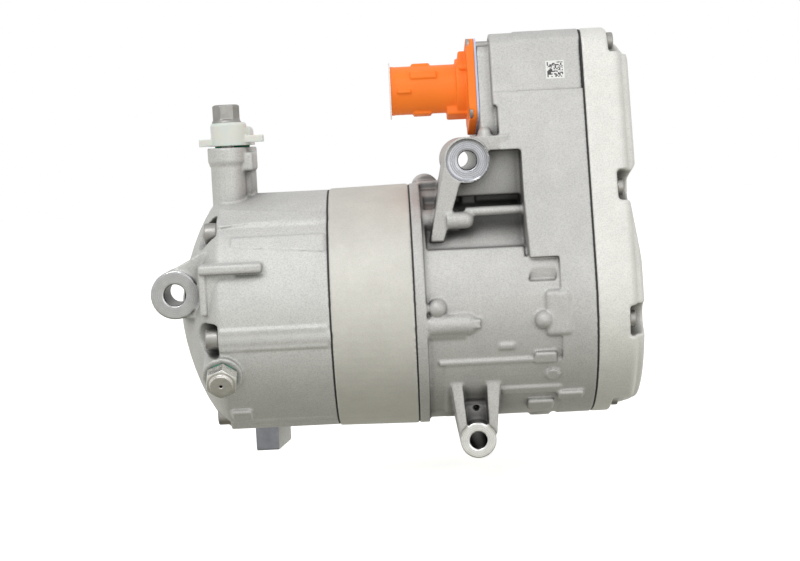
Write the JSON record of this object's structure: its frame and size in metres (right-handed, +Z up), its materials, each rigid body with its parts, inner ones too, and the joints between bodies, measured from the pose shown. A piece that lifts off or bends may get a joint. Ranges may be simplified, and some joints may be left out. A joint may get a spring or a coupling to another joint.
{
  "type": "automotive ac compressor",
  "caption": "Electric scroll compressor for car air conditioning: round cast housing, upright inverter case, orange high-voltage connector, mounting lugs.",
  "frame": {"origin": "middle of the upper mounting lug's bore, on its axis", "axes": "+X along the shaft from the discharge head to the inverter cover, +Y along the lug bores to the back, +Z up"},
  "size_m": [0.2365, 0.1678, 0.2071],
  "materials": {
    "head_casting": "cast, shot-blasted",
    "ring_casting": "cast, finer surface",
    "housing_casting": "cast, shot-blasted",
    "cover_casting": "cast, shot-blasted, paler",
    "machined_aluminium": "machined",
    "gasket": "rubber-coated steel sheet",
    "cast_iron": "machined",
    "bearing_steel": "ground",
    "bolt_steel": "zinc plated",
    "valve_steel": "nickel plated",
    "brass": "machined",
    "dark_plastic": "moulded",
    "green_rubber": "seal",
    "natural_nylon": "natural nylon",
    "orange_plastic": "moulded",
    "pale_seal": "silicone",
    "clear_film": "thin clear plastic",
    "electrical_steel": "laminated",
    "copper_wire": "enamelled copper",
    "magnet": "nickel plated",
    "circuit_board": "solder mask"
  },
  "bodies": {
    "root": {"anti_rotation_pins": "bearing_steel", "bearing_carrier": "cast_iron", "board_screws": "bolt_steel", "centre_gasket": "gasket", "centre_housing": "ring_casting", "cover_gasket": "gasket", "cover_screws": "bolt_steel", "dc_link_capacitor": "dark_plastic", "discharge_head": "head_casting", "discharge_port_cap": "natural_nylon", "filter_choke": "copper_wire", "fixed_scroll": "machined_aluminium", "fixed_tip_seal": "dark_plastic", "front_bearing_outer_race": "bearing_steel", "head_bolts": "bolt_steel", "head_gasket": "gasket", "hv_connector_body": "orange_plastic", "hv_connector_screws": "bolt_steel", "hv_connector_seal": "pale_seal", "hv_dust_cap": "clear_film", "hv_terminals": "brass", "inverter_board": "circuit_board", "inverter_cover": "cover_casting", "lv_connector_body": "dark_plastic", "lv_terminals": "brass", "motor_feedthrough": "dark_plastic", "motor_housing": "housing_casting", "oil_separator_tube": "bearing_steel", "port_cap_bolts": "bolt_steel", "port_seals": "green_rubber", "power_modules": "dark_plastic", "rear_bearing_outer_race": "bearing_steel", "reed_screw": "bolt_steel", "reed_stop": "bearing_steel", "relief_spring": "bearing_steel", "relief_valve_body": "valve_steel", "relief_valve_seal": "green_rubber", "stator_core": "electrical_steel", "stator_insulators": "dark_plastic", "stator_windings": "copper_wire", "suction_port_cap": "natural_nylon", "thrust_plate": "bearing_steel"},
    "rotor_and_shaft": {"shaft": "bearing_steel", "crank_bush": "bearing_steel", "counterweight": "brass", "rotor_core": "electrical_steel", "rotor_magnets": "magnet", "rotor_end_plates": "brass", "front_bearing_inner_race": "bearing_steel", "rear_bearing_inner_race": "bearing_steel"},
    "orbiting_scroll": {"orbiting_scroll": "machined_aluminium", "orbiting_tip_seal": "dark_plastic", "anti_rotation_rings": "bearing_steel", "crank_bearing_outer_race": "bearing_steel"},
    "crank_rollers": {"crank_rollers": "bearing_steel"},
    "front_cage": {"front_bearing_balls_and_cage": "bearing_steel"},
    "rear_cage": {"rear_bearing_balls_and_cage": "bearing_steel"},
    "reed": {"discharge_reed": "bearing_steel"},
    "poppet": {"relief_poppet": "brass"}
  },
  "joints": [
    {"name": "shaft_spin", "type": "hinge", "parent": "root", "child": "rotor_and_shaft", "pos_m": [-0.0082, -0.002, -0.0713], "axis": [1, 0, 0], "continuous": true},
    {"name": "scroll_orbit", "type": "hinge", "parent": "rotor_and_shaft", "child": "orbiting_scroll", "pos_m": [-0.0682, 0.0025, -0.0713], "axis": [1, 0, 0], "continuous": true},
    {"name": "crank_roller_roll", "type": "hinge", "parent": "rotor_and_shaft", "child": "crank_rollers", "pos_m": [-0.0682, 0.0025, -0.0713], "axis": [1, 0, 0], "continuous": true},
    {"name": "front_cage_spin", "type": "hinge", "parent": "root", "child": "front_cage", "pos_m": [-0.0472, -0.002, -0.0713], "axis": [1, 0, 0], "continuous": true},
    {"name": "rear_cage_spin", "type": "hinge", "parent": "root", "child": "rear_cage", "pos_m": [0.0343, -0.002, -0.0713], "axis": [1, 0, 0], "continuous": true},
    {"name": "reed_lift", "type": "hinge", "parent": "root", "child": "reed", "pos_m": [-0.1144, -0.002, -0.0953], "axis": [0, -1, 0], "range_deg": [0, 5], "stiffness_Nm_per_rad": 0.4},
    {"name": "relief_lift", "type": "slide", "parent": "root", "child": "poppet", "axis": [0, -0.9135, -0.4067], "range_m": [0, 0.0015], "stiffness_N_per_m": 4000, "deforming": ["relief_spring"]}
  ],
  "couplings": [
    {"joint": "scroll_orbit", "follows": "shaft_spin", "ratio": -1},
    {"joint": "crank_roller_roll", "follows": "shaft_spin", "ratio": -0.55},
    {"joint": "front_cage_spin", "follows": "shaft_spin", "ratio": 0.377},
    {"joint": "rear_cage_spin", "follows": "shaft_spin", "ratio": 0.369}
  ]
}
